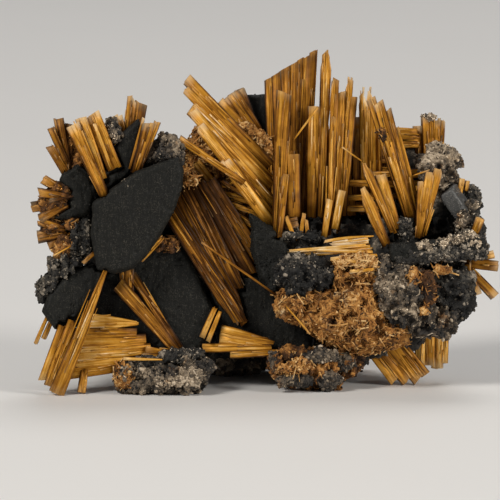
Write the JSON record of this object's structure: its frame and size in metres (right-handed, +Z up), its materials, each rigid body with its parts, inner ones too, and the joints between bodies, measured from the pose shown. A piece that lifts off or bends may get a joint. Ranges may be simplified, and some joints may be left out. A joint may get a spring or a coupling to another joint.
{
  "type": "rutile on hematite mineral specimen",
  "caption": "Free-standing mineral specimen: crossing sheaves of golden rutile laths on dark hematite tablets and granular crust.",
  "frame": {"origin": "centre of the specimen's bounding box, on the surface it stands on", "axes": "+X to the specimen's right as it is looked at, its longest way; +Y away from the viewer, its shortest way; +Z up"},
  "size_m": [0.0468, 0.0224, 0.0334],
  "materials": {
    "rutile": "striated, satin to glossy",
    "hematite": "dull metallic, faintly brushed",
    "brown_crust": "matt, splintery",
    "grey_crust": "matt, granular",
    "black_crust": "granular with small glints"
  },
  "bodies": {
    "root": {"tower_left_spray": "rutile", "tower_top_spray": "rutile", "tower_right_spray": "rutile", "edge_stubs_upper": "rutile", "edge_stubs_middle": "rutile", "edge_stubs_lower": "rutile", "lower_left_sheaf": "rutile", "crossing_laths": "rutile", "level_fan_left": "rutile", "centre_sheaf": "rutile", "front_tall_laths": "rutile", "upper_left_sheaf": "rutile", "upper_right_band": "rutile", "lattice_laths": "rutile", "level_fan_centre": "rutile", "tall_fan": "rutile", "spear": "rutile", "tall_prongs": "rutile", "pale_tipped_spray": "rutile", "leaning_blade": "rutile", "front_left_vee": "rutile", "front_right_vee": "rutile", "rear_block": "rutile", "rear_rungs": "rutile", "bright_bar": "rutile", "right_fingers": "rutile", "lower_right_sheaf": "rutile", "lower_right_comb": "rutile", "back_left_sheaf": "rutile", "back_tall_sheaf": "rutile", "back_right_sheaf": "rutile", "back_level_fan": "rutile", "back_lower_laths": "rutile", "front_tablet": "hematite", "upper_left_tablet": "hematite", "notch_tablets": "hematite", "lower_left_tablet": "hematite", "middle_tablet": "hematite", "lower_centre_tablet": "hematite", "top_tablet": "hematite", "glinting_tablet": "hematite", "shelf_tablet": "hematite", "facet_crystal": "hematite", "back_left_tablet": "hematite", "back_right_tablet": "hematite", "tower_knob": "grey_crust", "tower_top_crust": "grey_crust", "left_crust": "black_crust", "left_foot_crust": "grey_crust", "centre_foot_crust": "brown_crust", "brown_crust": "brown_crust", "brown_mat": "brown_crust", "dark_crust": "black_crust", "grey_crust": "grey_crust", "right_black_crust": "black_crust", "right_knob": "grey_crust", "right_edge_crust": "black_crust", "back_foot_crust": "grey_crust", "matrix": "black_crust"}
  },
  "joints": []
}
